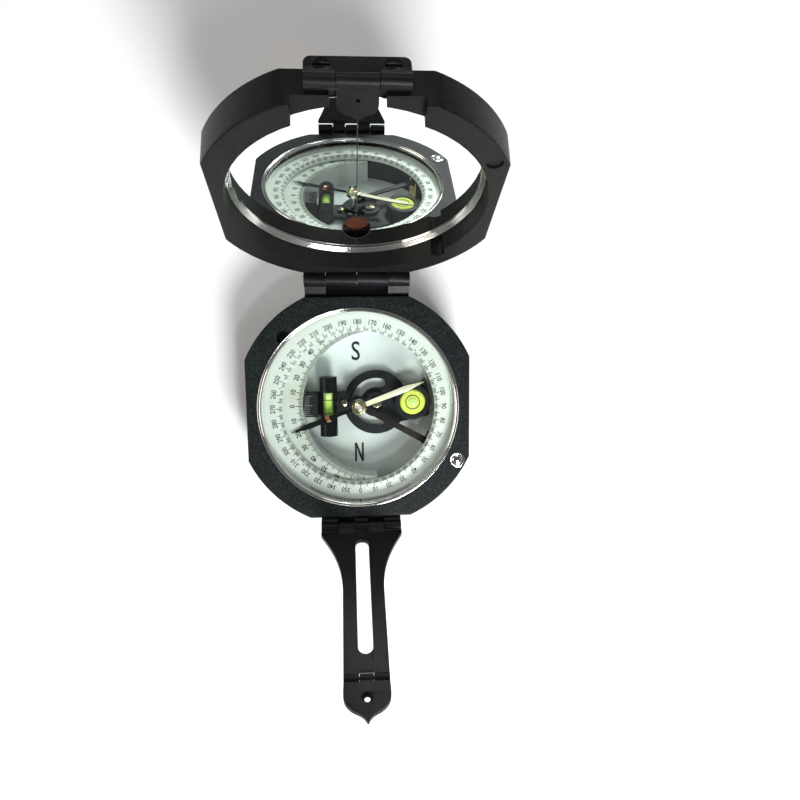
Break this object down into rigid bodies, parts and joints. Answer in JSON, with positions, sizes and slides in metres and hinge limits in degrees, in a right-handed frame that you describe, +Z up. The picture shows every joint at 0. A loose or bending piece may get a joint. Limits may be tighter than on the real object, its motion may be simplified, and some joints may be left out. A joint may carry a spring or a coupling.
{
  "type": "sighting compass",
  "caption": "Pocket sighting compass with a folding mirror lid, slotted sight arm, graduated dial and a clinometer with spirit levels.",
  "frame": {"origin": "centre of the case's bottom face, on the needle's axis, where the back lever's screw is level with the case's bottom", "axes": "+Z up along the needle's axis, +Y towards the lid's hinge, -Y towards the sight arm"},
  "size_m": [0.07, 0.1513, 0.0916],
  "materials": {
    "black_speckled_paint": "satin, fine speckle",
    "black_enamel": "satin",
    "chromed_brass": "polished",
    "steel": "bright",
    "brass": "bright",
    "copper_wire": "bright",
    "white_enamel": "satin",
    "cream_enamel": "satin",
    "clear_glass": "polished",
    "mirror_glass": "polished",
    "vial_fluid": "clear green",
    "gasket_rubber": "matt",
    "sapphire": "polished"
  },
  "bodies": {
    "case": {"base_case": "black_speckled_paint", "dial_plate": "white_enamel", "clinometer_scale": "white_enamel", "index_ring": "white_enamel", "glass_gasket": "gasket_rubber", "dial_glass": "clear_glass", "bezel_ring": "chromed_brass", "shaft_bush": "brass", "needle_pivot": "steel", "pivot_bridge": "black_enamel", "axle_screw": "brass", "button_collar": "chromed_brass", "button_spring": "steel", "lever_bracket": "brass", "lever_pin": "steel", "lid_hinge_base_leaf": "black_enamel", "lid_hinge_pin": "brass", "arm_hinge_leaf": "black_enamel", "arm_hinge_pin": "steel", "base_leaf_screw_left": "black_enamel", "base_leaf_screw_right": "black_enamel", "arm_leaf_screw_left": "black_enamel", "arm_leaf_screw_right": "black_enamel"},
    "graduated_circle": {"azimuth_ring": "white_enamel"},
    "declination_drive": {"declination_screw": "brass"},
    "lid": {"lid_shell": "black_speckled_paint", "mirror": "mirror_glass", "mirror_ring": "chromed_brass", "lid_hinge_lid_leaf": "black_enamel", "lid_leaf_screw_left": "black_enamel", "lid_leaf_screw_right": "black_enamel", "peep_mount_plate": "black_enamel", "peep_screw_left": "black_enamel", "peep_screw_right": "black_enamel", "peep_pin": "steel"},
    "peep": {"peep_sight": "black_enamel"},
    "arm": {"sight_arm": "black_enamel", "tip_pin": "steel"},
    "tip": {"sight_tip": "black_enamel"},
    "needle": {"needle_north": "cream_enamel", "needle_south": "black_enamel", "needle_cap": "brass", "needle_jewel": "sapphire", "balance_coil": "copper_wire"},
    "clinometer": {"clinometer_shaft": "steel", "clinometer_carrier": "black_speckled_paint", "carrier_screw": "brass", "tube_level_housing": "black_enamel", "tube_level_vial": "vial_fluid", "tube_level_cap_front": "black_enamel", "tube_level_cap_rear": "black_enamel", "round_level_housing": "black_enamel", "round_level_vial": "vial_fluid", "vernier_block": "black_enamel", "back_lever": "black_enamel", "lever_screw": "brass", "friction_washer": "steel"},
    "button": {"lock_button": "chromed_brass"},
    "lifter": {"lift_lever": "black_enamel"}
  },
  "joints": [
    {"name": "lid_hinge", "type": "hinge", "parent": "case", "child": "lid", "pos_m": [0, 0.04043, 0.02108], "axis": [1, 0, 0], "range_deg": [-64.66, 115.34]},
    {"name": "peep_sight_hinge", "type": "hinge", "parent": "lid", "child": "peep", "pos_m": [0, 0.07661, 0.08995], "axis": [1, 0, 0], "range_deg": [-180, 0]},
    {"name": "sight_arm_hinge", "type": "hinge", "parent": "case", "child": "arm", "pos_m": [0, -0.038, 0.0205], "axis": [-1, 0, 0], "range_deg": [-62.4, 117.6]},
    {"name": "sight_tip_hinge", "type": "hinge", "parent": "arm", "child": "tip", "pos_m": [0, -0.06326, 0.0671], "axis": [1, 0, 0], "range_deg": [-90, 0]},
    {"name": "needle_spin", "type": "hinge", "parent": "case", "child": "needle", "pos_m": [0, 0, 0.0158], "axis": [0, 0, 1], "continuous": true},
    {"name": "clinometer_turn", "type": "hinge", "parent": "case", "child": "clinometer", "pos_m": [0.0057, 0.0005, 0.0077], "axis": [0, 0, 1], "range_deg": [-90, 90]},
    {"name": "azimuth_ring_turn", "type": "hinge", "parent": "case", "child": "graduated_circle", "pos_m": [0, 0, 0.016], "axis": [0, 0, 1], "continuous": true},
    {"name": "declination_screw_turn", "type": "hinge", "parent": "case", "child": "declination_drive", "pos_m": [0.031, 0, 0.0119], "axis": [1, 0, 0], "continuous": true},
    {"name": "lock_button_press", "type": "slide", "parent": "case", "child": "button", "axis": [0, 0, -1], "range_m": [0, 0.0007], "stiffness_N_per_m": 600, "deforming": ["button_spring"]},
    {"name": "lift_lever_rock", "type": "hinge", "parent": "case", "child": "lifter", "pos_m": [0.02329, -0.01285, 0.0129], "axis": [0.483, 0.8756, 0], "range_deg": [0, 4.6]}
  ],
  "couplings": [
    {"joint": "declination_screw_turn", "follows": "azimuth_ring_turn", "ratio": -9.5},
    {"joint": "lift_lever_rock", "follows": "lock_button_press", "rad_per_m": 112.33}
  ]
}
